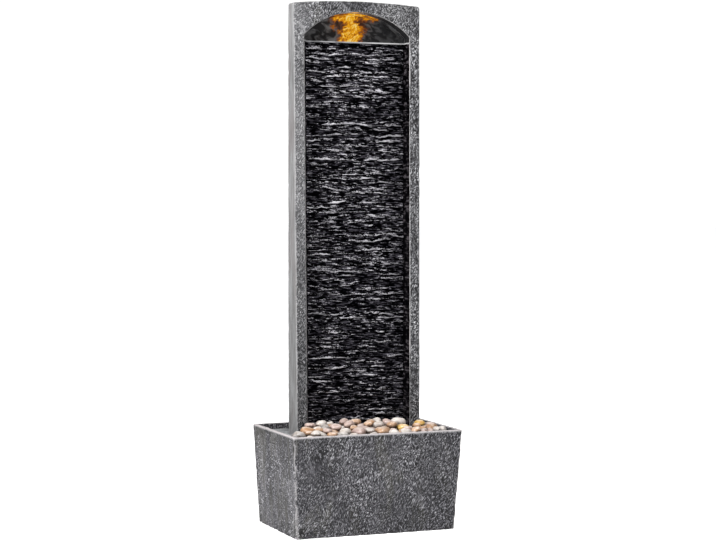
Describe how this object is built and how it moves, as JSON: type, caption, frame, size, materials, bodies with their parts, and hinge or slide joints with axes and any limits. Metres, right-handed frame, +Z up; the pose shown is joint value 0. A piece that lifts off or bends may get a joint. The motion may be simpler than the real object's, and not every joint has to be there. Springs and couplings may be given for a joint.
{
  "type": "garden wall fountain",
  "caption": "Slim upright fountain: lit arch over a rippled slate water wall, framed by slate-look stiles, standing in a tapered basin with pebbles and a hidden pump.",
  "frame": {"origin": "on the floor, under the centre of the basin's rim", "axes": "+X to the right seen from the front, +Y to the back, +Z up; the water wall faces -Y"},
  "size_m": [0.3378, 0.2363, 1],
  "materials": {
    "cast_slate": "cast resin moulded and dry-brushed like riven slate, wet near the foot",
    "riven_slate": "rippled slate, wet and near black",
    "dark_channel": "smooth charcoal moulding",
    "alcove_wall": "smooth dark charcoal, satin",
    "pale_edge": "thin brushed strip, wet",
    "grey_deck": "light grey moulding, wet",
    "black_plastic": "black moulding, fine grain",
    "hose": "clear flexible vinyl tube",
    "black_rubber": "soft black rubber",
    "screw_steel": "plain stainless",
    "white_ceramic": "ground white ceramic",
    "ferrite": "dark ferrite ring",
    "rotor_plastic": "white moulding",
    "dial_plastic": "blue moulding",
    "lamp_board": "white board with lamps",
    "lamp_lens": "ribbed clear lens lit warm from behind",
    "stone_tan": "smooth river pebble, damp",
    "stone_pink": "smooth river pebble, damp",
    "stone_grey": "smooth river pebble, damp",
    "stone_white": "smooth river pebble, damp",
    "stone_ochre": "smooth river pebble, damp"
  },
  "bodies": {
    "fountain": {"basin": "cast_slate", "tower_shell": "cast_slate", "wall_carrier": "dark_channel", "slate_face": "riven_slate", "weir_lip": "pale_edge", "weir_trough": "black_plastic", "trough_screws": "screw_steel", "trough_fitting": "black_plastic", "fitting_nut": "black_plastic", "riser_hose": "hose", "hose_clamps": "screw_steel", "hose_saddles": "black_plastic", "alcove_liner": "alcove_wall", "led_housing": "black_plastic", "led_lens": "lamp_lens", "led_board": "lamp_board", "led_screws": "screw_steel", "rear_cover": "dark_channel", "rear_cover_screws": "screw_steel", "tower_screws": "screw_steel", "cable_grommet": "black_rubber", "pump_body": "black_plastic", "suction_cups": "black_rubber", "pump_nozzle": "black_plastic", "pump_cover": "black_plastic", "impeller_shaft": "white_ceramic", "shaft_bushes": "white_ceramic"},
    "deck": {"pebble_tray": "grey_deck", "pebbles_tan": "stone_tan", "pebbles_pink": "stone_pink", "pebbles_grey": "stone_grey", "pebbles_white": "stone_white", "pebbles_ochre": "stone_ochre"},
    "lid": {"service_lid": "grey_deck"},
    "plug": {"drain_plug": "black_rubber"},
    "rotor": {"impeller": "rotor_plastic", "rotor_magnet": "ferrite"},
    "regulator": {"flow_regulator": "dial_plastic"}
  },
  "joints": [
    {"name": "deck_lift", "type": "slide", "parent": "fountain", "child": "deck", "axis": [0, 0, 1], "range_m": [0, 0.06]},
    {"name": "lid_lift", "type": "slide", "parent": "fountain", "child": "lid", "axis": [0, 0, 1], "range_m": [0, 0.06]},
    {"name": "plug_pull", "type": "slide", "parent": "fountain", "child": "plug", "axis": [0, 1, 0], "range_m": [0, 0.024]},
    {"name": "rotor_spin", "type": "hinge", "parent": "fountain", "child": "rotor", "pos_m": [0, 0.053, 0.044], "axis": [1, 0, 0], "continuous": true},
    {"name": "regulator_turn", "type": "hinge", "parent": "fountain", "child": "regulator", "pos_m": [0.0295, 0.053, 0.044], "axis": [1, 0, 0], "range_deg": [0, 60]}
  ]
}
